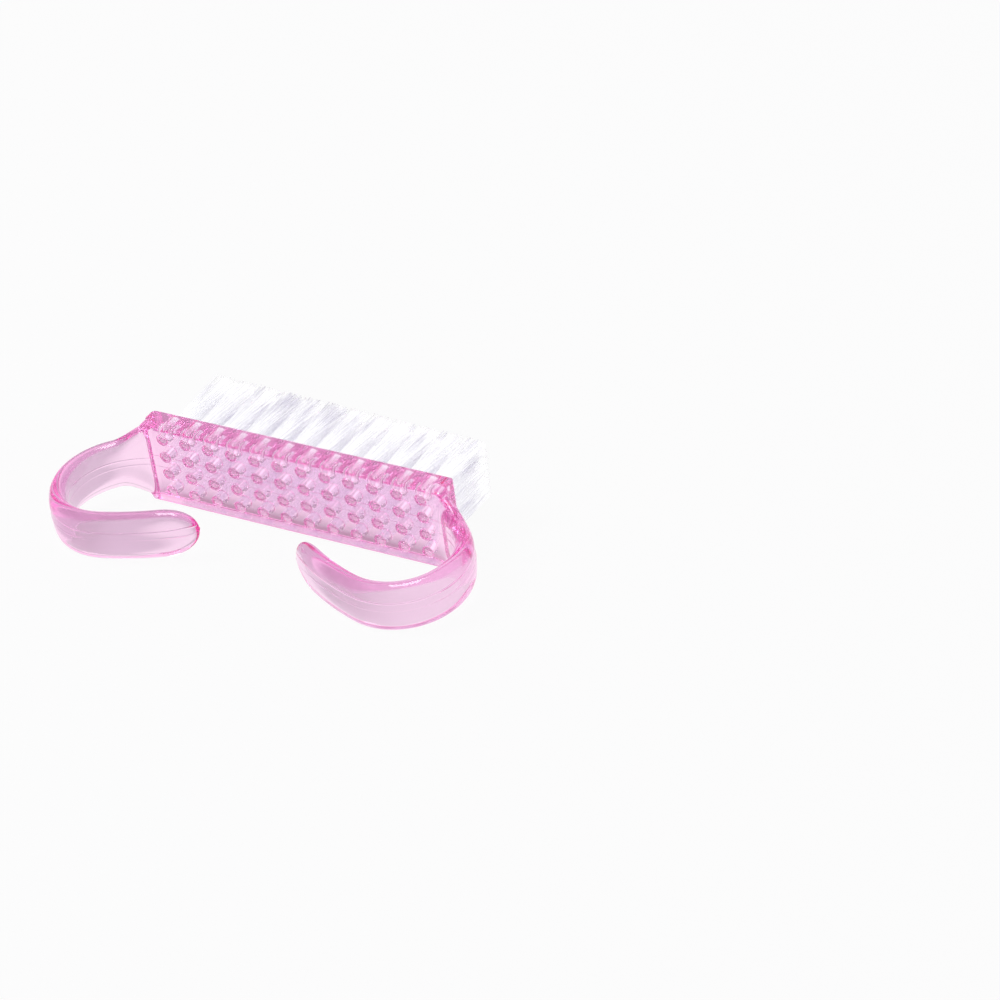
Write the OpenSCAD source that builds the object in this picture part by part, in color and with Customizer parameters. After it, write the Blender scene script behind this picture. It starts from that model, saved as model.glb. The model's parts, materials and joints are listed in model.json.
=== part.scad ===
// Two-handled nail brush: a clear moulded body with a finger hook at each end, and tufts of
// nylon bristles that flat wire anchors hold in blind holes.
// Lengths are in millimetres. Each piece is drawn with the block square to the axes: X along the
// block, Y towards the bristle tips, Z up, and the middle of the block's lower side at the origin.
// The whole brush then leans back onto its hooks, as it lies on a table.

/* [Block] */
// Length of the block
block_l = 58; // [54:1:66]
// Thickness of the block, from its back to its bristle face
block_t = 5; // [4.6:0.1:6]
// Width of the block, which is its height as the brush lies
block_w = 15.2; // [14.8:0.2:18]
// Radius on the block's four short corners
corner_r = 0.9; // [0.5:0.1:1.2]
// Radius along the block's other edges
edge_r = 0.3; // [0.2:0.05:0.4]

/* [Hooks] */
// Thickness of a hook
hook_t = 3.1; // [2.8:0.1:3.4]
// Width of a hook past its root
hook_w = 9.1; // [8:0.1:10.5]
// Length over which the root narrows to that width
narrow_l = 7.2; // [5:0.2:9]
// Distance of the root's centre from the block's end, inside the block
root_in = 1.8; // [1.6:0.1:2]
// Plastic between the root's back surface and the block's back face
root_cover = 0.25; // [0.15:0.05:0.35]
// Angle at which the root leaves the block, in degrees back from its length
root_lean = 19; // [16:1:22]
// Radius and turn of the root's bend
root_r = 20; // [16:1:26]
root_turn = 15; // [10:1:18]
// Radius and turn of the bend at the outer side
side_r = 11.2; // [10:0.2:12.6]
side_turn = 92; // [88:1:96]
// Radius and turn of the bend at the back
back_r = 9.4; // [8.6:0.2:10.4]
back_turn = 70; // [66:1:74]
// Radius and turn of the run towards the tip
run_r = 46; // [36:1:60]
run_turn = 20.8; // [16:0.2:24]
// Length over which the tip's outline closes in a round
tip_round = 5; // [4:0.2:6]

/* [Tufts] */
// Tufts along the block
tuft_cols = 12; // [10:1:13]
// Rows of tufts across the block
tuft_rows = 4; // [3:1:4]
// Distance from the block's end to the first hole's centre
end_margin = 4.25; // [4.1:0.05:4.6]
// Distance from the block's long side to the outer row of holes
side_margin = 2.5; // [2.2:0.1:2.6]
// Diameter of a blind hole
hole_d = 2.2; // [2:0.05:2.3]
// Plastic left behind a blind hole
hole_floor = 0.9; // [0.7:0.1:1.1]
// Length of the bristles outside the block
bristle_l = 14.3; // [12:0.5:18]
// Distance of the outer tips from the block's end and from its long side, as seen along the bristles
tips_end_margin = 2.7; // [1:0.1:4]
tips_side_margin = 2; // [1.4:0.1:2.6]
// Turn of the tips about the bristles' direction, which they have taken as a set, in degrees
tips_turn = 1.9; // [0:0.1:3]
// Side of a strand, which stands for a few filaments, at its root and at its tip
strand_root = 0.42; // [0.36:0.02:0.44]
strand_tip = 0.62; // [0.5:0.02:0.7]

/* [Anchors] */
// Length of a wire anchor, across its hole
anchor_l = 2.8; // [2.6:0.1:3]
// Height of a wire anchor, along its hole
anchor_h = 1.3; // [1:0.1:1.5]
// Thickness of a wire anchor
anchor_t = 0.36; // [0.3:0.02:0.42]
// Folded filaments under a wire anchor
fold = 1; // [0.9:0.05:1.1]

/* [Hidden] */
// Clearance of a tuft in its hole and of an anchor in its slot
fit_gap = 0.04;
// Length by which a tuft's packed root stands out of its hole
plug_proud = 0.12;
// Length of a strand inside the packed root
strand_in = 0.3;
// Distance by which the root's section stays inside the block's long sides
root_inset = 0.25;
// Overrun of every cut
cut = 0.5;
// Strands along and across one tuft
strands = 3;
// Distance between strands at the root, as a share of the hole's diameter
root_pitch_share = 0.235;
// Largest random shift of a strand's tip, as a share of the distance between tips
stray_share = 0.14;
// Seed of the random shifts
stray_seed = 7;
// Rings on each bend of a hook and on its rounded tip, and steps round one edge
bend_rings = [4, 12, 10, 5];
tip_rings = 10;
edge_steps = 6;

row_pitch = (block_w - 2 * side_margin) / (tuft_rows - 1);
col_pitch = (block_l - 2 * end_margin) / (tuft_cols - 1);
tips_l = block_l - 2 * tips_end_margin;
tips_w = block_w - 2 * tips_side_margin;
hole_depth = block_t - hole_floor;
face_y = block_t / 2;
hook_r = hook_t / 2;

function tuft_name(row, col) = str("tuft_row", row, "_col", col < 10 ? "0" : "", col);
function hole_x(col) = -block_l / 2 + end_margin + (col - 1) * col_pitch;
function hole_z(row) = side_margin + (row - 1) * row_pitch;

// Plan curve of a hook: bends that follow each other, all turning the same way
bends = [[root_r, root_turn], [side_r, side_turn], [back_r, back_turn], [run_r, run_turn]];
root_point = [block_l / 2 - root_in, -face_y + hook_r + root_cover];

function bend_length(bend) = bend[0] * bend[1] * PI / 180;
function after(point, heading, radius, turn) =
    point + radius * [sin(heading) - sin(heading - turn), cos(heading - turn) - cos(heading)];
function bend_start(i) =
    i == 0 ? root_point : after(bend_start(i - 1), bend_heading(i - 1), bends[i - 1][0], bends[i - 1][1]);
function bend_heading(i) = i == 0 ? -root_lean : bend_heading(i - 1) - bends[i - 1][1];
function length_before(i) = i == 0 ? 0 : length_before(i - 1) + bend_length(bends[i - 1]);

hook_l = length_before(len(bends));

function bend_at(s, i = 0) =
    i == len(bends) - 1 || s <= length_before(i + 1) ? i : bend_at(s, i + 1);
function turn_at(s) = (s - length_before(bend_at(s))) / bends[bend_at(s)][0] * 180 / PI;
function heading_at(s) = bend_heading(bend_at(s)) - turn_at(s);
function point_at(s) =
    after(bend_start(bend_at(s)), bend_heading(bend_at(s)), bends[bend_at(s)][0], turn_at(s));

// Width of a hook: the root narrows to it in a smooth step
function eased(u) = u >= 1 ? 1 : u * u * (3 - 2 * u);
function width_at(s) = hook_w + (block_w - 2 * root_inset - hook_w) * (1 - eased(s / narrow_l));

// What a round of the given length leaves of a size at s, down to nothing at the hook's end
function round_share(s, length) = sqrt(1 - pow(max(0, (s - hook_l + length) / length), 2));

// One ring of a hook: two straight faces between two half-round edges
function ring(s) =
    let (h = heading_at(s), r = hook_r * round_share(s, hook_r))
        let (straight = width_at(s) / 2 * round_share(s, tip_round) - r) [
            for (side = [1, -1])
                for (k = [0 : edge_steps])
                    let (a = 90 * (side - 1) + 180 * k / edge_steps)
                        [
                            each point_at(s) + r * cos(a) * [-sin(h), cos(h)],
                            block_w / 2 + side * straight + r * sin(a)
                        ]
        ];

run_end = hook_l - tip_round;
bend_stations = [
    for (i = [0 : len(bends) - 1])
        for (k = [0 : bend_rings[i] - 1])
            let (s = length_before(i) + bend_length(bends[i]) * k / bend_rings[i])
                if (s < run_end) s
];
tip_stations = [for (k = [0.5 : tip_rings]) run_end + tip_round * sin(90 * k / tip_rings)];
hook_rings = [for (s = concat(bend_stations, tip_stations)) ring(s)];

module skin(rings) {
    n = len(rings[0]);
    m = len(rings);
    points = [for (r = rings) each r];
    walls = [
        for (i = [0 : m - 2])
            for (k = [0 : n - 1])
                let (j = (k + 1) % n, a = i * n + k, b = i * n + j, c = a + n, d = b + n)
                    each [[a, d, b], [a, c, d]]
    ];
    first = [for (k = [1 : n - 2]) [0, k, k + 1]];
    last = [for (k = [1 : n - 2]) [(m - 1) * n, (m - 1) * n + k + 1, (m - 1) * n + k]];
    polyhedron(points = points, faces = concat(walls, first, last));
}

module rounded_rectangle(length, width, r) {
    square([length - 2 * r, width], center = true);
    square([length, width - 2 * r], center = true);
    for (x = [-1, 1])
        for (y = [-1, 1])
            translate([x * (length / 2 - r), y * (width / 2 - r)])
                circle(r = r, $fn = 24);
}

module block_blank() {
    translate([0, 0, block_w / 2])
        intersection() {
            linear_extrude(block_w, center = true)
                rounded_rectangle(block_l, block_t, corner_r);
            rotate([90, 0, 0])
                linear_extrude(block_t + 2 * cut, center = true)
                    rounded_rectangle(block_l, block_w, edge_r);
            rotate([90, 0, 90])
                linear_extrude(block_l + 2 * cut, center = true)
                    rounded_rectangle(block_t, block_w, edge_r);
        }
}

// Places its children at the mouth of one hole, with Z out of the hole
module at_hole(row, col) {
    translate([hole_x(col), face_y, hole_z(row)])
        rotate([-90, 0, 0])
            children();
}

// The space of one wire anchor in its hole, grown by a gap on every side
module anchor_blank(gap) {
    translate([0, 0, -hole_depth + fold + anchor_h / 2])
        cube([anchor_l + 2 * gap, anchor_t + 2 * gap, anchor_h + 2 * gap], center = true);
}

module body() {
    color([0.96, 0.55, 0.78, 0.6]) {
        difference() {
            block_blank();
            for (row = [1 : tuft_rows])
                for (col = [1 : tuft_cols])
                    at_hole(row, col) {
                        translate([0, 0, -hole_depth])
                            cylinder(d = hole_d, h = hole_depth + cut, $fn = 24);
                        anchor_blank(fit_gap);
                    }
        }
        for (side = [0, 1])
            mirror([side, 0, 0])
                skin(hook_rings);
    }
}

module wire_anchors() {
    color("silver")
        for (row = [1 : tuft_rows])
            for (col = [1 : tuft_cols])
                at_hole(row, col)
                    anchor_blank(0);
}

// A straight strand of square section from its root to its trimmed tip
module strand(root, tip, from, to) {
    corners = [[-1, -1], [1, -1], [1, 1], [-1, 1]] / 2;
    skin([
        [for (c = corners) [root[0] + strand_root * c[0], root[1] + strand_root * c[1], from]],
        [for (c = corners) [tip[0] + strand_tip * c[0], tip[1] + strand_tip * c[1], to]]
    ]);
}

// Place of a tip as seen from its hole, from its place in the untwisted field of tips
function tip_from_hole(row, col, along, up) = [
    along * cos(tips_turn) + up * sin(tips_turn) - hole_x(col),
    along * sin(tips_turn) - up * cos(tips_turn) + hole_z(row) - block_w / 2
];

module tuft(row, col) {
    step = [tips_l / tuft_cols, tips_w / tuft_rows] / strands;
    middle = [col - (tuft_cols + 1) / 2, row - (tuft_rows + 1) / 2] * strands;
    count = strands * strands;
    strays = rands(-stray_share, stray_share, 2 * count, stray_seed + row * tuft_cols + col);
    color([0.95, 0.93, 0.97, 0.9])
        at_hole(row, col) {
            difference() {
                translate([0, 0, -hole_depth + fit_gap])
                    cylinder(d = hole_d - 2 * fit_gap, h = hole_depth - fit_gap + plug_proud, $fn = 14);
                anchor_blank(fit_gap);
            }
            for (k = [0 : count - 1]) {
                place = [k % strands, floor(k / strands)] - (strands - 1) / 2 * [1, 1];
                along = (middle[0] + place[0] + strays[2 * k]) * step[0];
                up = (middle[1] - place[1] - strays[2 * k + 1]) * step[1];
                tip = tip_from_hole(row, col, along, up);
                strand(place * root_pitch_share * hole_d, tip, plug_proud - strand_in, bristle_l);
            }
        }
}

// How the brush lies: the lower back edge of the block and the hooks' lower edges touch the table
edge_y = -face_y + edge_r;
back_point = bend_start(2) + back_r * [sin(bend_heading(2)), -cos(bend_heading(2))] - [0, back_r];
hook_low = block_w / 2 - hook_w / 2 + hook_r;
reach = norm([edge_y - back_point[1], hook_low - edge_r]);
lean = atan2(hook_low - edge_r, edge_y - back_point[1]) - asin((hook_r - edge_r) / reach);
lift = edge_r - edge_y * sin(lean) - edge_r * cos(lean);
tips_low = (block_w - tips_w * cos(tips_turn) - tips_l * sin(tips_turn)) / 2;
tip_y = (face_y + bristle_l) * cos(lean) - tips_low * sin(lean);
hook_y = back_point[1] * cos(lean) - (block_w - hook_low) * sin(lean) - hook_r;

module lying() {
    translate([0, -(tip_y + hook_y) / 2, lift])
        rotate([lean, 0, 0])
            children();
}

lying() body();
lying() wire_anchors();
for (row = [1 : tuft_rows])
    for (col = [1 : tuft_cols])
        lying() tuft(row, col);
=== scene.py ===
"""Looks of the clear pink nail brush: moulded body, nylon filaments, wire anchors, floor, light and camera."""

import json
import math

import bpy
import numpy as np
from mathutils import Matrix, Vector


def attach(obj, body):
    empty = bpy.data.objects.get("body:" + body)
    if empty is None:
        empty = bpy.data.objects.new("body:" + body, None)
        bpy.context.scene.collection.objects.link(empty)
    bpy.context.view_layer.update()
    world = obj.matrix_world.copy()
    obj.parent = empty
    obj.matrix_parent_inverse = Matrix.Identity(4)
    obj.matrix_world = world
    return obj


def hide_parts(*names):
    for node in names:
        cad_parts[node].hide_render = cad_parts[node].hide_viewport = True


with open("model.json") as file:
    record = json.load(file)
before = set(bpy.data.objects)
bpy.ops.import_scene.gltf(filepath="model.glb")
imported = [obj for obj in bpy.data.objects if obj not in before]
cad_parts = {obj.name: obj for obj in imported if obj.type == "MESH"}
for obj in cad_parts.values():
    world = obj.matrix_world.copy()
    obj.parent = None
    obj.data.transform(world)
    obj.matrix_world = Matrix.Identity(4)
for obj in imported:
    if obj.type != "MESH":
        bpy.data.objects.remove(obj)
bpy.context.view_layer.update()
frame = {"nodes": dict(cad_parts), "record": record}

MM = 0.001

# Sizes in millimetres, as in the part's source. X runs along the block, Y towards the bristle tips,
# and Z up the block's width from its lower side, with the middle of its thickness at y = 0.
BLOCK_L, BLOCK_T, BLOCK_W = 58.0, 5.0, 15.2
CORNER_R, EDGE_R = 0.9, 0.3
HOOK_T, HOOK_W = 3.1, 9.1
NARROW_L, ROOT_IN, ROOT_COVER, ROOT_LEAN, ROOT_INSET = 7.2, 1.8, 0.25, 19.0, 0.25
BENDS = [(20.0, 15.0), (11.2, 92.0), (9.4, 70.0), (46.0, 20.8)]
COLS, ROWS = 12, 4
END_MARGIN, SIDE_MARGIN = 4.25, 2.5
HOLE_D, HOLE_FLOOR = 2.2, 0.9
BRISTLE_L, TIPS_END_MARGIN, TIPS_SIDE_MARGIN, TIPS_TURN = 14.3, 2.7, 2.0, 1.9
ANCHOR_T, FOLD = 0.36, 1.0

FACE_Y = BLOCK_T / 2
MID_Z = BLOCK_W / 2
ROOT_W = BLOCK_W - 2 * ROOT_INSET
COL_PITCH = (BLOCK_L - 2 * END_MARGIN) / (COLS - 1)
ROW_PITCH = (BLOCK_W - 2 * SIDE_MARGIN) / (ROWS - 1)
FIRST_X = -BLOCK_L / 2 + END_MARGIN
HOLE_END_Y = -FACE_Y + HOLE_FLOOR

# Fine form of the moulding, in millimetres. Its back edges are softer than the solid's, and the hooks have a
# fillet at their roots, edges and tips on curves of CURVE_POWER, and bends that change in small steps. The holes
# have rounds at both ends, and a parting line runs round the middle of the moulding.
BACK_EDGE_R = 0.9
ROOT_FILLET = 0.5
HOOK_EDGE_REACH, TIP_REACH, CURVE_POWER = 3.4, 6.5, 2.2
BEND_EASE, EASE_STEPS = 3.6, 4
MOUTH_ROUND, HOLE_END_ROUND = 0.12, 0.35
PARTING_H, PARTING_W = 0.05, 0.09

# Grid that the moulding's mesh is made on, in millimetres: its coarse step, and for each axis its two ends, the
# places where it is finer, how far from them, and the finer step. EDGE_IN is from a face to the middle of the
# round at its edge, and the grid is worked out in SLABS parts to save memory.
GRID_STEP = 0.2
EDGE_IN = 0.5
GRID = (
    (-40.0, 40.0, (-BLOCK_L / 2, BLOCK_L / 2), 1.0, 0.08),
    (-27.0, 4.0, (EDGE_IN - FACE_Y, HOLE_END_Y, FACE_Y), 0.6, 0.08),
    (-1.0, BLOCK_W + 1.0, (EDGE_IN, MID_Z, BLOCK_W - EDGE_IN), 0.6, 0.06),
)
SLABS = 24

# Filaments, in millimetres. Each is folded round the anchor, with its two legs opposite each other in the hole.
# LEG_ROWS rows of legs lie to each side of the anchor, with LEGS_TO_A_SIDE legs to each side of a row's middle one.
# Outside the hole the legs fan out to their tips, each with its own bow and stray.
FILAMENT_R, FILAMENT_SIDES = 0.095, 5
FILAMENT_STEP, LEGS_TO_A_SIDE, LEG_ROWS = 0.2, 4, 4
WALL_GAP, ANCHOR_GAP, FOLD_GAP = 0.02, 0.01, 0.03
LEG_POINTS, BEND_POINTS = 9, 5
FAN_POWER, BOW = 1.12, 0.1
TIP_STRAY, TRIM_STRAY = 0.12, 0.05
TIPS = np.array([BLOCK_L - 2 * TIPS_END_MARGIN, BLOCK_W - 2 * TIPS_SIDE_MARGIN])
FILAMENT_SEED = 11

# Materials. A painted edge glow: the plastic turns a deeper pink below the first edge height, full below the
# second, in millimetres up the block.
PLASTIC_IOR = 1.5
PINK, EDGE_GLOW_PINK = (1, 0.82, 0.94, 1), (1, 0.52, 0.78, 1)
EDGE_GLOW_Z, EDGE_GLOW_FULL = 1.3, 0.5
PINK_DEPTH, PINK_DENSITY = (0.998, 0.1, 0.76, 1), 48.0
BODY_ROUGHNESS, BODY_GRAIN = (0.04, 0.12), 900.0
# The nylon is clear, with painted shade: lavender streaks for the shadows between the filaments, and their grain,
# stretch, range and share at the root.
NYLON_CLEAR, NYLON_SHADE = (0.995, 0.995, 0.998, 1), (0.8, 0.785, 0.85, 1)
SHADE_LINE_SCALE, SHADE_LINE_STRETCH, SHADE_LINE_RANGE = 850.0, (1, 0.1, 0.3), (0.45, 0.62)
SHADE_AT_ROOT = 0.05
WIRE, WIRE_ROUGHNESS, WIRE_GRAIN = (0.86, 0.85, 0.87, 1), (0.25, 0.45), 2500.0

# Painted light and shade in the floor, as refracted rays see it: their share of white is least near the left hook,
# a painted shade there, and more to the right, beneath the block and behind it, painted light there, and far off.
# Each has the two distances in metres between which it changes, and its share at each. SKY_RISE gives the world's
# share of white for refracted rays in the same way, by height.
FLOOR, FLOOR_SIZE, FLOOR_SEEN = (0.52, 0.5, 0.55, 1), 3.0, 0.95
PAINTED_LIGHT_RIGHTWARD = (0.01, 0.04, 0.4, 0.85)
PAINTED_LIGHT_BENEATH_X = (0.026, 0.03, 1, 0)
PAINTED_LIGHT_BENEATH_Y = (0.005, 0.011, 0.9, 0)
FAR_OFF = (0.04, 0.09, 0, 1)
PAINTED_LIGHT_BACKWARD = (0.004, 0.015, 0, 1)
SKY, SKY_STRENGTH, SKY_RISE = (1, 1, 1, 1), 0.42, (0.0, 0.08, 0.25, 1)

# Lamps: place and size in metres, power, and whether they make glints and light
LAMPS = {
    "key": ((-0.35, -0.3, 0.65), (0.3, 0.3), 3.4, False, True),
    "back": ((0.2, 0.4, 0.5), (0.7, 0.7), 0.4, True, True),
    "gloss": ((0.25, -0.35, 0.8), (0.55, 0.55), 8.0, True, False),
}

# Camera, fitted to the block's corners and the hooks' outlines in the photograph
CAMERA_AIM = Vector((0.02992, 0.01682, 0.00625))
CAMERA_AZIMUTH, CAMERA_ELEVATION, CAMERA_ROLL = 30.864, 27.557, -2.56
CAMERA_DISTANCE = 0.58074
CAMERA_LENS = 129.2

# Light passes in and out of the block, its holes and the filaments many times
BOUNCES = 160

# Block axes in millimetres to the row frame in metres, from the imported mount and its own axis
MOUNT = frame["record"]["mounts"][0]
LEAN = math.atan2(MOUNT["axis"][1], -MOUNT["axis"][2])
LYING = Matrix.Translation(Vector(MOUNT["pos_m"])) @ Matrix.Rotation(LEAN, 4, "X") @ Matrix.Scale(MM, 4)


def eased_bends():
    """(radius, turn in radians) of the hook's bends, with the curve changing in small steps between them."""
    curves = [(1 / radius, radius * math.radians(degrees)) for radius, degrees in BENDS]
    made = []
    for n, (curve, length) in enumerate(curves):
        shared = (n > 0) + (n < len(curves) - 1)
        made.append((1 / curve, (length - shared * BEND_EASE / 2) * curve))
        if n < len(curves) - 1:
            change = curves[n + 1][0] - curve
            steps = [curve + change * (i + 0.5) / EASE_STEPS for i in range(EASE_STEPS)]
            made += [(1 / step, BEND_EASE / EASE_STEPS * step) for step in steps]
    return made


def bend_starts():
    """(point, heading in radians, length before, radius, turn) of each bend of the right hook's centreline."""
    point = np.array([BLOCK_L / 2 - ROOT_IN, -FACE_Y + HOOK_T / 2 + ROOT_COVER])
    heading, length, made = -math.radians(ROOT_LEAN), 0.0, []
    for radius, turn in eased_bends():
        made.append((point, heading, length, radius, turn))
        after = heading - turn
        step = [math.sin(heading) - math.sin(after), math.cos(after) - math.cos(heading)]
        point = point + radius * np.array(step)
        heading, length = after, length + radius * turn
    made.append((point, heading, length, None, None))
    return made


HOOK_PATH = bend_starts()
HOOK_L = HOOK_PATH[-1][2]


def along_hook(x, y):
    """Distance from the hook's centreline, and the length along it, of points on the right side."""
    best = np.full(np.broadcast(x, y).shape, np.inf)
    reach = np.zeros_like(best)
    for point, heading, length, radius, turn in HOOK_PATH:
        if radius is None:
            ahead = (x - point[0]) * math.cos(heading) + (y - point[1]) * math.sin(heading)
            ahead = np.maximum(ahead, 0)
            near_x = point[0] + ahead * math.cos(heading)
            near_y = point[1] + ahead * math.sin(heading)
            s = length + ahead
        else:
            centre = point + radius * np.array([math.sin(heading), -math.cos(heading)])
            angle = heading - turn / 2 - np.arctan2(-(x - centre[0]), y - centre[1])
            angle = np.remainder(angle + math.pi, 2 * math.pi) - math.pi
            angle = np.clip(angle, -turn / 2, turn / 2) + turn / 2
            near_x = centre[0] - radius * np.sin(heading - angle)
            near_y = centre[1] + radius * np.cos(heading - angle)
            s = length + radius * angle
        distance = np.hypot(x - near_x, y - near_y)
        nearer = distance < best
        best = np.where(nearer, distance, best)
        reach = np.where(nearer, s, reach)
    return best, reach


def soft_min(a, b, k):
    """The lesser of a and b, rounded over where they are within k of each other."""
    h = np.maximum(k - np.abs(a - b), 0) / k
    return np.minimum(a, b) - h * h * k / 4


def soft_max(a, b, k):
    return -soft_min(-a, -b, k)


def rounded_and(a, b, r):
    """Distance to where both a and b are inside, with the edge between them rounded to r."""
    return np.hypot(np.maximum(a + r, 0), np.maximum(b + r, 0)) - r + np.minimum(np.maximum(a, b) + r, 0)


def block_distance(x, y, z):
    plan = rounded_and(np.abs(x) - BLOCK_L / 2, np.abs(y) - BLOCK_T / 2, CORNER_R)
    return rounded_and(plan, np.abs(z - MID_Z) - BLOCK_W / 2, np.where(y < 0, BACK_EDGE_R, EDGE_R))


def hook_distance(x, y, z):
    side, s = along_hook(np.abs(x), y)
    u = np.clip(s / NARROW_L, 0, 1)
    half = (HOOK_W + (ROOT_W - HOOK_W) * (1 - u * u * (3 - 2 * u))) / 2
    up = np.abs(z - MID_Z)
    past = np.maximum(s - HOOK_L + TIP_REACH, 0) / TIP_REACH
    share = np.sqrt(past**CURVE_POWER + (up / half) ** 2)
    rate = np.hypot(CURVE_POWER / 2 * past ** (CURVE_POWER - 1) / TIP_REACH, up / half**2)
    outline = np.where(past > 0, share * (share - 1) / np.maximum(rate, 1e-6), up - half)
    out = np.maximum(outline / HOOK_EDGE_REACH + 1, 0)
    level = (out**CURVE_POWER + (side / (HOOK_T / 2)) ** CURVE_POWER) ** (1 / CURVE_POWER)
    return (level - 1) * HOOK_T / 2


def hole_distance(x, y, z):
    col = np.clip(np.round((x - FIRST_X) / COL_PITCH), 0, COLS - 1)
    row = np.clip(np.round((z - SIDE_MARGIN) / ROW_PITCH), 0, ROWS - 1)
    radial = np.hypot(x - FIRST_X - col * COL_PITCH, z - SIDE_MARGIN - row * ROW_PITCH) - HOLE_D / 2
    return rounded_and(radial, HOLE_END_Y - y, HOLE_END_ROUND)


def body_distance(x, y, z):
    """Signed distance to the moulding's surface in millimetres, below zero inside the plastic."""
    solid = soft_min(block_distance(x, y, z), hook_distance(x, y, z), ROOT_FILLET)
    solid = solid + PARTING_H * (1 - np.exp(-(((z - MID_Z) / PARTING_W) ** 2)))
    return soft_max(solid, -hole_distance(x, y, z), MOUTH_ROUND)


def grid_lines(low, high, fine_at, reach, fine_step):
    """Grid lines from low to high, closer together within reach of each place in fine_at."""
    lines = np.arange(low, high + GRID_STEP, GRID_STEP)
    for place in fine_at:
        lines = lines[np.abs(lines - place) > reach + fine_step / 2]
        lines = np.append(lines, place + np.arange(-reach, reach + fine_step / 2, fine_step))
    return np.sort(lines)


def surface_net(axes, field):
    """Vertices and quads of the closed surface field = 0, with one vertex in each cell that it crosses."""
    x, y, z = (a.reshape([-1 if i == n else 1 for i in range(3)]) for n, a in enumerate(axes))
    values = np.concatenate([field(part, y, z) for part in np.array_split(x, SLABS)])
    inside = values < 0
    strides = np.array([values.shape[1] * values.shape[2], values.shape[2], 1])
    cells, points = [], []
    for a in range(3):
        b, c = (a + 1) % 3, (a + 2) % 3
        low = [slice(None)] * 3
        high = [slice(None)] * 3
        low[a], high[a] = slice(None, -1), slice(1, None)
        low, high = tuple(low), tuple(high)
        at = np.argwhere(inside[low] != inside[high])
        first, second = values[low][tuple(at.T)], values[high][tuple(at.T)]
        share = first / (first - second)
        place = np.stack([axes[n][at[:, n]] for n in range(3)], 1)
        place[:, a] += share * (axes[a][at[:, a] + 1] - axes[a][at[:, a]])
        corner = at @ strides
        around = np.stack([corner - strides[b] - strides[c], corner - strides[c], corner, corner - strides[b]], 1)
        around[first >= 0] = around[first >= 0][:, ::-1]
        cells.append(around)
        points.append(np.repeat(place, 4, 0))
    cells = np.concatenate(cells)
    points = np.concatenate(points)
    _, index = np.unique(cells.ravel(), return_inverse=True)
    count = np.bincount(index)
    verts = np.stack([np.bincount(index, points[:, n]) / count for n in range(3)], 1)
    return verts, index.reshape(-1, 4)


def slope(field, p, step=0.01):
    """Gradient of the field at points p."""
    sides = []
    for n in range(3):
        ahead, back = p.copy(), p.copy()
        ahead[:, n] += step
        back[:, n] -= step
        sides.append((field(*ahead.T) - field(*back.T)) / (2 * step))
    return np.stack(sides, 1)


def settle(field, p, reach, rounds=3):
    """Moves points onto the surface field = 0 along its slope, by no more than reach a round."""
    for _ in range(rounds):
        g = slope(field, p)
        move = -(field(*p.T) / np.maximum((g * g).sum(1), 0.05))[:, None] * g
        size = np.linalg.norm(move, axis=1, keepdims=True)
        p = p + move * np.minimum(1, reach / np.maximum(size, 1e-9))
    return p


def lay(points):
    """Points in block axes, in millimetres, as points of the row frame in metres."""
    turn = np.array(LYING.to_3x3())
    return points @ turn.T + np.array(LYING.translation)


def new_object(name, verts, faces, material, normals=None):
    """A mesh object with flat faces, or with smooth ones where the normals at its vertices are given."""
    mesh = bpy.data.meshes.new(name)
    mesh.from_pydata(verts.tolist(), [], faces)
    if normals is not None:
        mesh.polygons.foreach_set("use_smooth", np.ones(len(mesh.polygons), bool))
        mesh.normals_split_custom_set_from_vertices(normals.tolist())
    mesh.materials.append(material)
    made = bpy.data.objects.new(name, mesh)
    bpy.context.scene.collection.objects.link(made)
    return made


def make_body(material):
    verts, quads = surface_net([grid_lines(*line) for line in GRID], body_distance)
    verts = settle(body_distance, verts, GRID_STEP / 2)
    normals = slope(body_distance, verts)
    normals /= np.linalg.norm(normals, axis=1, keepdims=True)
    turn = np.array(LYING.to_3x3().normalized())
    body = new_object("moulded_body", lay(verts), quads.tolist(), material, normals @ turn.T)
    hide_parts("body")
    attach(body, "root")


def tubes(paths, radius, sides):
    """Vertices and quads of closed tubes along paths of shape (tubes, points, 3). X is never along a path."""
    ahead = np.gradient(paths, axis=1)
    ahead /= np.linalg.norm(ahead, axis=2, keepdims=True)
    across = np.array([1.0, 0, 0]) - ahead * ahead[..., :1]
    across /= np.linalg.norm(across, axis=2, keepdims=True)
    up = np.cross(ahead, across)
    angle = np.arange(sides) * 2 * math.pi / sides
    ring = np.cos(angle)[:, None] * across[..., None, :] + np.sin(angle)[:, None] * up[..., None, :]
    verts = paths[..., None, :] + radius * ring
    count, points = paths.shape[:2]
    index = np.arange(count * points * sides).reshape(count, points, sides)
    nearer, farther = index[:, :-1], index[:, 1:]
    walls = np.stack([nearer, np.roll(nearer, -1, 2), np.roll(farther, -1, 2), farther], -1)
    return verts.reshape(-1, 3), walls.reshape(-1, 4), index[:, 0][:, ::-1], index[:, -1]


def hole_grid():
    """(across, out) of each folded filament's leg in its hole, as seen along the hole."""
    room = HOLE_D / 2 - FILAMENT_R - WALL_GAP
    nearest, farthest = ANCHOR_T / 2 + FILAMENT_R + ANCHOR_GAP, FOLD - FILAMENT_R - FOLD_GAP
    across, out = np.meshgrid(
        np.arange(-LEGS_TO_A_SIDE, LEGS_TO_A_SIDE + 1) * FILAMENT_STEP, np.linspace(nearest, farthest, LEG_ROWS)
    )
    legs = np.stack([across.ravel(), out.ravel()], 1)
    return legs[np.hypot(*legs.T) <= room]


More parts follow.
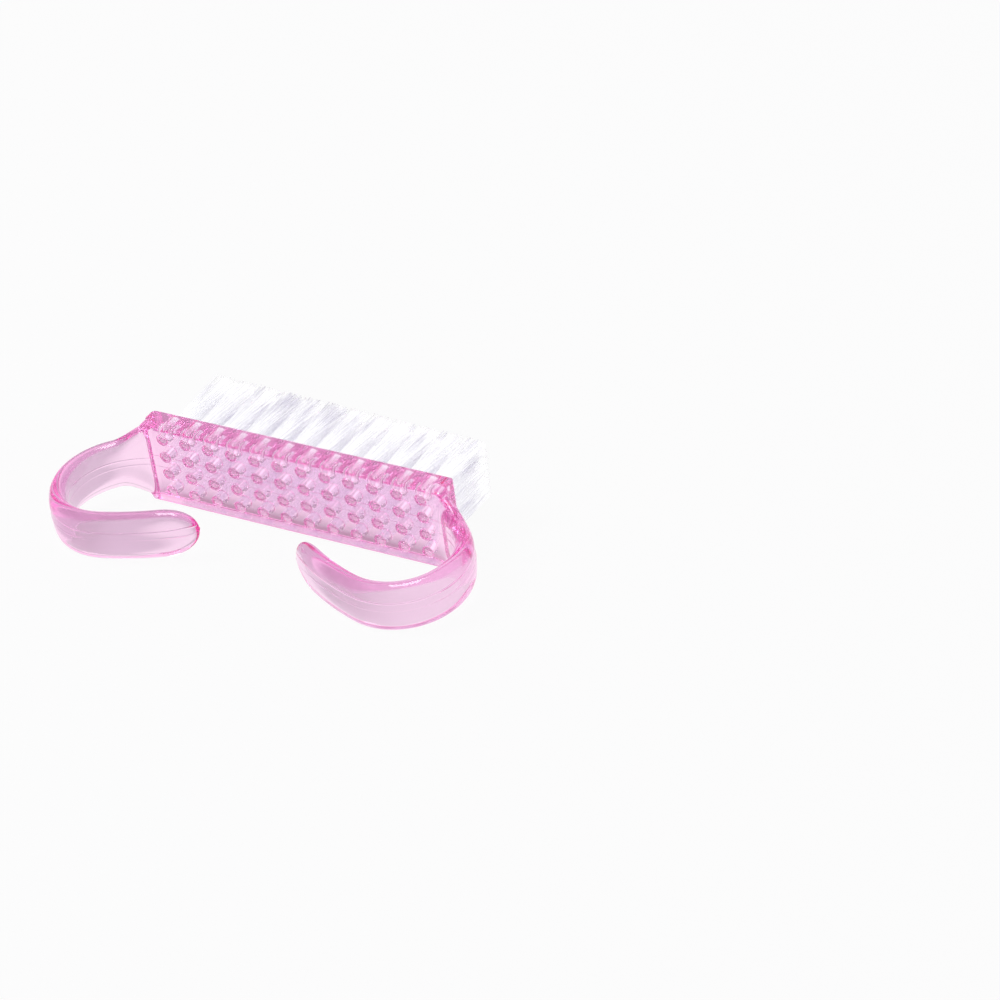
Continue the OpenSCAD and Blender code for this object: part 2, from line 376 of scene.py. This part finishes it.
def tuft_paths(row, col, random):
    """Centrelines of a tuft's folded filaments: up from one tip, under the anchor and out to the other."""
    legs = hole_grid()
    hole = np.array([FIRST_X + (col - 1) * COL_PITCH, SIDE_MARGIN + (row - 1) * ROW_PITCH])
    cell = TIPS / [COLS, ROWS]
    home = cell * [col - (COLS + 1) / 2, row - (ROWS + 1) / 2]
    a = math.radians(TIPS_TURN)
    turned = np.array([[math.cos(a), -math.sin(a)], [math.sin(a), math.cos(a)]])
    room = HOLE_D / 2 - FILAMENT_R
    anchor_y = HOLE_END_Y + FOLD
    halves = []
    for side in (1, -1):
        start = legs * [1, side]
        unit = start / room
        unit *= (np.linalg.norm(unit, axis=1) / np.maximum(np.abs(unit).max(1), 1e-6))[:, None]
        tip = home + unit * (cell / 2 - FILAMENT_R) + random.uniform(-TIP_STRAY, TIP_STRAY, legs.shape)
        tip = np.clip(tip, FILAMENT_R - TIPS / 2, TIPS / 2 - FILAMENT_R) @ turned + [0, MID_Z]
        t = np.linspace(0, 1, LEG_POINTS)[None, :, None]
        mouth = hole + start
        flat = mouth[:, None] + (tip - mouth)[:, None] * t**FAN_POWER
        bow = random.normal(0, BOW, legs.shape)
        flat = flat + bow[:, None] * (t * (1 - t) * 2)
        length = BRISTLE_L - random.uniform(0, TRIM_STRAY, len(legs))
        y = FACE_Y + length[:, None] * t[..., 0]
        out = np.stack([flat[..., 0], y, flat[..., 1]], -1)
        low = np.stack([mouth[:, 0], np.full(len(legs), anchor_y), mouth[:, 1]], -1)
        halves.append(np.concatenate([out[:, ::-1], low[:, None]], 1))
    angle = np.linspace(0, math.pi, BEND_POINTS + 2)[1:-1]
    across = np.repeat((hole[0] + legs[:, 0])[:, None], BEND_POINTS, 1)
    out = legs[:, 1:]
    bend = np.stack([across, anchor_y - out * np.sin(angle), hole[1] + out * np.cos(angle)], -1)
    return np.concatenate([halves[0], bend, halves[1][:, ::-1]], 1)


def make_tufts(material):
    random = np.random.default_rng(FILAMENT_SEED)
    for row in range(1, ROWS + 1):
        for col in range(1, COLS + 1):
            node = f"tuft_row{row}_col{col:02d}"
            verts, walls, starts, ends = tubes(tuft_paths(row, col, random), FILAMENT_R, FILAMENT_SIDES)
            faces = walls.tolist() + starts.tolist() + ends.tolist()
            tuft = new_object(node + "_filaments", lay(verts), faces, material)
            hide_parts(node)
            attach(tuft, "root")


def new_material(name):
    material = bpy.data.materials.new(name)
    material.use_nodes = True
    tree = material.node_tree
    return material, tree, tree.nodes["Principled BSDF"]


def add(tree, kind, **values):
    node = tree.nodes.new(kind)
    for key, value in values.items():
        if key in node.inputs:
            node.inputs[key].default_value = value
        else:
            setattr(node, key, value)
    return node


def mapped(tree, value, low, high, to_low, to_high):
    """The value taken from low..high to to_low..to_high along a soft step."""
    step = add(tree, "ShaderNodeMapRange", interpolation_type="SMOOTHSTEP")
    for socket, number in zip(("From Min", "From Max", "To Min", "To Max"), (low, high, to_low, to_high)):
        step.inputs[socket].default_value = number
    tree.links.new(value, step.inputs["Value"])
    return step.outputs["Result"]


def grained(tree, shader, scale, detail, low, high):
    """Varies the shader's roughness from low to high in a fine grain."""
    noise = add(tree, "ShaderNodeTexNoise", Scale=scale, Detail=detail)
    rough = add(tree, "ShaderNodeMapRange")
    rough.inputs["To Min"].default_value = low
    rough.inputs["To Max"].default_value = high
    tree.links.new(noise.outputs["Fac"], rough.inputs["Value"])
    tree.links.new(rough.outputs["Result"], shader.inputs["Roughness"])


def vector_parts(tree, vector):
    """The X, Y and Z of a vector."""
    node = add(tree, "ShaderNodeSeparateXYZ")
    tree.links.new(vector, node.inputs["Vector"])
    return node.outputs


def vector_math(tree, operation, vector, result):
    node = add(tree, "ShaderNodeVectorMath", operation=operation)
    tree.links.new(vector, node.inputs[0])
    return node.outputs[result]


def combined(tree, operation, first, second):
    """What a Math node makes of two values."""
    node = add(tree, "ShaderNodeMath", operation=operation)
    tree.links.new(first, node.inputs[0])
    tree.links.new(second, node.inputs[1])
    return node.outputs[0]


def tinted(tree, shader, share, plain, full):
    """Colours the shader from plain to full by the share."""
    tint = add(tree, "ShaderNodeMix", data_type="RGBA")
    tint.inputs["A"].default_value = plain
    tint.inputs["B"].default_value = full
    tree.links.new(share, tint.inputs["Factor"])
    tree.links.new(tint.outputs["Result"], shader.inputs["Base Color"])


def block_axes(tree):
    """Place in the block's own axes, in metres, as a vector and as its parts."""
    place = add(tree, "ShaderNodeTexCoord")
    along = add(tree, "ShaderNodeMapping", vector_type="TEXTURE")
    along.inputs["Location"].default_value = MOUNT["pos_m"]
    along.inputs["Rotation"].default_value = (LEAN, 0, 0)
    tree.links.new(place.outputs["Object"], along.inputs["Vector"])
    return along.outputs["Vector"], vector_parts(tree, along.outputs["Vector"])


def clear_pink():
    """Clear pink plastic, with a painted edge glow: a deeper pink painted along the block's lower edge."""
    material, tree, shader = new_material("clear_pink_plastic")
    _, parts = block_axes(tree)
    # Painted edge glow: the base colour turns a deeper pink towards the block's lower edge, standing in for light
    # in the rounded edge.
    share = mapped(tree, parts["Z"], EDGE_GLOW_Z * MM, EDGE_GLOW_FULL * MM, 0, 1)
    tinted(tree, shader, share, PINK, EDGE_GLOW_PINK)
    shader.inputs["Transmission Weight"].default_value = 1
    shader.inputs["IOR"].default_value = PLASTIC_IOR
    grained(tree, shader, BODY_GRAIN, 3.0, *BODY_ROUGHNESS)
    volume = add(tree, "ShaderNodeVolumeAbsorption", Color=PINK_DEPTH, Density=PINK_DENSITY)
    tree.links.new(volume.outputs[0], tree.nodes["Material Output"].inputs["Volume"])
    return material


def nylon():
    """Clear nylon with painted shade: lavender streaks painted along the filaments for the shadows between them,
    stronger towards their tips.
    """
    material, tree, shader = new_material("nylon_filament")
    along, parts = block_axes(tree)
    stretched = add(tree, "ShaderNodeVectorMath", operation="MULTIPLY")
    stretched.inputs[1].default_value = SHADE_LINE_STRETCH
    tree.links.new(along, stretched.inputs[0])
    noise = add(tree, "ShaderNodeTexNoise", Scale=SHADE_LINE_SCALE, Detail=3.0)
    tree.links.new(stretched.outputs["Vector"], noise.inputs["Vector"])
    # Painted shade: streaks for the shadows between the filaments, fading towards the root.
    shade_lines = mapped(tree, noise.outputs["Fac"], *SHADE_LINE_RANGE, 0, 1)
    inner, outer = (FACE_Y + BRISTLE_L / 3) * MM, (FACE_Y + BRISTLE_L) * MM
    outward = mapped(tree, parts["Y"], inner, outer, SHADE_AT_ROOT, 1)
    tinted(tree, shader, combined(tree, "MULTIPLY", shade_lines, outward), NYLON_CLEAR, NYLON_SHADE)
    shader.inputs["Roughness"].default_value = 0
    shader.inputs["Transmission Weight"].default_value = 1
    shader.inputs["IOR"].default_value = PLASTIC_IOR
    return material


def wire():
    material, tree, shader = new_material("drawn_wire")
    grained(tree, shader, WIRE_GRAIN, 4.0, *WIRE_ROUGHNESS)
    shader.inputs["Base Color"].default_value = WIRE
    shader.inputs["Metallic"].default_value = 1
    return material


def dress_anchors(material):
    anchors = frame["nodes"]["wire_anchors"]
    anchors.data.materials.clear()
    anchors.data.materials.append(material)


def seen_white(tree, kind, shader_out, target, seen, through):
    """Mixes plain white into the shader: a share of seen for camera rays, 1 for mirrored ones, and through for
    refracted ones."""
    path = add(tree, "ShaderNodeLightPath").outputs
    bent = add(tree, "ShaderNodeMix")
    tree.links.new(path["Is Transmission Ray"], bent.inputs["Factor"])
    tree.links.new(path["Is Glossy Ray"], bent.inputs["A"])
    tree.links.new(through, bent.inputs["B"])
    share = add(tree, "ShaderNodeMath", operation="MULTIPLY_ADD")
    share.inputs[1].default_value = seen
    tree.links.new(path["Is Camera Ray"], share.inputs[0])
    tree.links.new(bent.outputs["Result"], share.inputs[2])
    white = add(tree, kind, Strength=1.0)
    white.inputs["Color"].default_value = (1, 1, 1, 1)
    mix = add(tree, "ShaderNodeMixShader")
    tree.links.new(share.outputs[0], mix.inputs[0])
    tree.links.new(shader_out, mix.inputs[1])
    tree.links.new(white.outputs[0], mix.inputs[2])
    tree.links.new(mix.outputs[0], target)


def make_floor():
    material, tree, shader = new_material("floor_white")
    shader.inputs["Base Color"].default_value = FLOOR
    shader.inputs["Roughness"].default_value = 0.7
    shader.inputs["Specular IOR Level"].default_value = 0.1
    place = add(tree, "ShaderNodeNewGeometry").outputs["Position"]
    at = vector_parts(tree, place)
    off = vector_parts(tree, vector_math(tree, "ABSOLUTE", place, "Vector"))
    # Painted light and shade: refracted rays see less white in the floor near the left hook, and more to the right,
    # beneath the block, behind it and far off.
    along, across = mapped(tree, off["X"], *PAINTED_LIGHT_BENEATH_X), mapped(tree, off["Y"], *PAINTED_LIGHT_BENEATH_Y)
    shares = (
        combined(tree, "MULTIPLY", along, across),
        mapped(tree, vector_math(tree, "LENGTH", place, "Value"), *FAR_OFF),
        mapped(tree, at["Y"], *PAINTED_LIGHT_BACKWARD),
    )
    through = mapped(tree, at["X"], *PAINTED_LIGHT_RIGHTWARD)
    for share in shares:
        through = combined(tree, "MAXIMUM", through, share)
    surface = tree.nodes["Material Output"].inputs["Surface"]
    seen_white(tree, "ShaderNodeEmission", shader.outputs[0], surface, FLOOR_SEEN, through)
    corners = np.array([(-1, -1, 0), (1, -1, 0), (1, 1, 0), (-1, 1, 0)]) * FLOOR_SIZE
    floor = new_object("floor", corners, [(0, 1, 2, 3)], material)


def make_world():
    world = bpy.data.worlds.new("studio")
    bpy.context.scene.world = world
    world.use_nodes = True
    tree = world.node_tree
    soft = tree.nodes["Background"]
    soft.inputs["Color"].default_value = SKY
    soft.inputs["Strength"].default_value = SKY_STRENGTH
    up = vector_parts(tree, add(tree, "ShaderNodeTexCoord").outputs["Generated"])["Z"]
    through = mapped(tree, up, *SKY_RISE)
    surface = tree.nodes["World Output"].inputs["Surface"]
    seen_white(tree, "ShaderNodeBackground", soft.outputs[0], surface, 1, through)


def make_lamp(name, place, size, power, glints, light):
    data = bpy.data.lights.new(name, "AREA")
    data.shape = "RECTANGLE"
    data.size, data.size_y = size
    data.energy = power
    lamp = bpy.data.objects.new(name, data)
    lamp.location = place
    lamp.rotation_mode = "QUATERNION"
    lamp.rotation_quaternion = Vector(place).to_track_quat("Z", "Y")
    lamp.visible_diffuse = lamp.visible_transmission = light
    lamp.visible_glossy = glints
    bpy.context.scene.collection.objects.link(lamp)


def make_camera():
    data = bpy.data.cameras.new("camera")
    data.lens = CAMERA_LENS
    data.sensor_width = 36
    data.clip_start, data.clip_end = 0.01, 20
    camera = bpy.data.objects.new("camera", data)
    a, e = math.radians(CAMERA_AZIMUTH), math.radians(CAMERA_ELEVATION)
    back = Vector((math.sin(a) * math.cos(e), -math.cos(a) * math.cos(e), math.sin(e)))
    camera.location = CAMERA_AIM + back * CAMERA_DISTANCE
    turn = (-back).to_track_quat("-Z", "Y").to_matrix() @ Matrix.Rotation(math.radians(CAMERA_ROLL), 3, "Z")
    camera.rotation_euler = turn.to_euler()
    bpy.context.scene.collection.objects.link(camera)
    bpy.context.scene.camera = camera


def main():
    bpy.context.scene.view_settings.view_transform = "Standard"
    light_paths = bpy.context.scene.cycles
    light_paths.max_bounces = light_paths.glossy_bounces = light_paths.transmission_bounces = BOUNCES
    make_body(clear_pink())
    make_tufts(nylon())
    dress_anchors(wire())
    make_floor()
    make_world()
    for name, lamp in LAMPS.items():
        make_lamp(name, *lamp)
    make_camera()


main()
